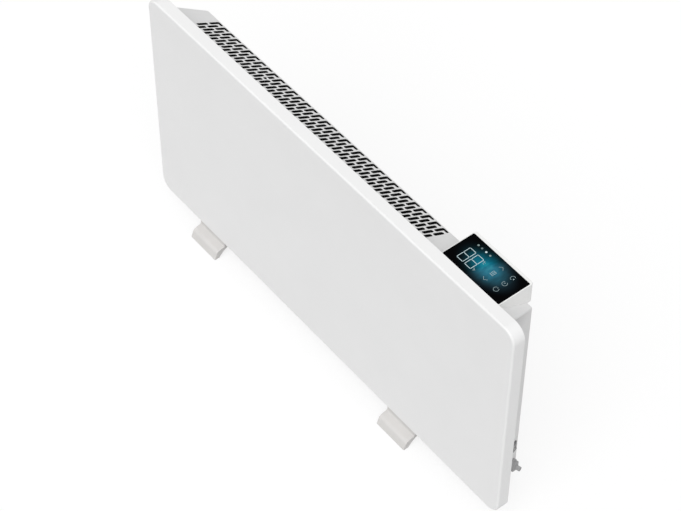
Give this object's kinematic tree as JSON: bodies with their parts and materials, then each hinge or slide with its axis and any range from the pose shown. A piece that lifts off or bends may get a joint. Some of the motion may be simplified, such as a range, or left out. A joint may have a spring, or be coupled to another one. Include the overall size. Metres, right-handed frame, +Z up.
{
  "type": "wall panel convector heater",
  "caption": "Slim panel convector heater: flat enamelled front plate, sloped slotted casing, touch-glass control box, side rocker switch, cable gland and low splayed feet.",
  "frame": {"origin": "on the floor, under the middle of the body and of the feet", "axes": "+X right along the front panel as its user sees it, +Y back towards the wall, +Z up"},
  "size_m": [0.9, 0.115, 0.494],
  "materials": {
    "white_enamel": "satin powder coat",
    "white_moulding": "fine satin moulding",
    "black_glass": "back-printed, polished",
    "grey_moulding": "satin moulding",
    "black_rubber": "matte",
    "grey_rubber": "matte",
    "zinc_steel": "zinc plated",
    "aluminium": "as extruded",
    "heater_rod": "oxidised stainless",
    "ceramic": "unglazed ceramic",
    "brass": "nickel free, dull",
    "board_green": "solder mask",
    "black_moulding": "moulded",
    "relay_blue": "moulded case",
    "capacitor_yellow": "moulded case",
    "terminal_white": "nylon",
    "white_module": "light guide moulding",
    "lead_brown": "silicone insulation",
    "lead_white": "silicone insulation",
    "lead_green": "earth lead insulation",
    "ribbon_grey": "flat cable"
  },
  "bodies": {
    "heater": {"front_panel": "white_enamel", "rear_casing": "white_enamel", "casing_screws": "zinc_steel", "heat_shield": "aluminium", "shield_rivets": "aluminium", "bay_partition": "zinc_steel", "lead_grommets": "black_rubber", "heating_element": "aluminium", "heating_rod": "heater_rod", "rod_studs": "brass", "rod_insulators": "ceramic", "element_bracket_left": "zinc_steel", "element_bracket_right": "zinc_steel", "bracket_screws": "zinc_steel", "thermal_cutout": "ceramic", "control_box": "white_moulding", "control_box_screws": "zinc_steel", "glass_gasket": "black_rubber", "touch_glass": "black_glass", "display_board": "board_green", "digit_module": "white_module", "icon_guide": "white_module", "indicator_leds": "terminal_white", "rocker_switch_body": "grey_moulding", "switch_blades": "brass", "gland_body": "grey_moulding", "gland_cap": "grey_moulding", "gland_bush": "grey_rubber", "gland_locknut": "grey_moulding", "left_foot": "white_moulding", "right_foot": "white_moulding", "foot_screws": "zinc_steel", "foot_pads": "black_rubber", "board_spacers": "brass", "power_board": "board_green", "board_screws": "zinc_steel", "standby_transformer": "black_moulding", "power_relays": "relay_blue", "filter_capacitor": "capacitor_yellow", "smoothing_capacitor": "black_moulding", "board_fuse": "ceramic", "fuse_clips": "brass", "board_connector": "terminal_white", "terminal_block": "terminal_white", "terminal_screws": "brass", "terminal_block_screw": "zinc_steel", "earth_screw": "zinc_steel", "sensor_clip": "terminal_white", "temperature_sensor": "ceramic", "element_lead": "lead_white", "cutout_lead": "lead_white", "return_lead": "lead_white", "supply_leads": "lead_brown", "switch_leads": "lead_brown", "sensor_lead": "lead_white", "earth_lead": "lead_green", "ribbon_plugs": "black_moulding", "display_ribbon": "ribbon_grey"},
    "rocker": {"rocker": "grey_moulding"}
  },
  "joints": [
    {"name": "rocker_tilt", "type": "hinge", "parent": "heater", "child": "rocker", "pos_m": [0.4037, 0.02683, 0.117], "axis": [-0.283, 0.9591, 0], "range_deg": [0, 18]}
  ]
}
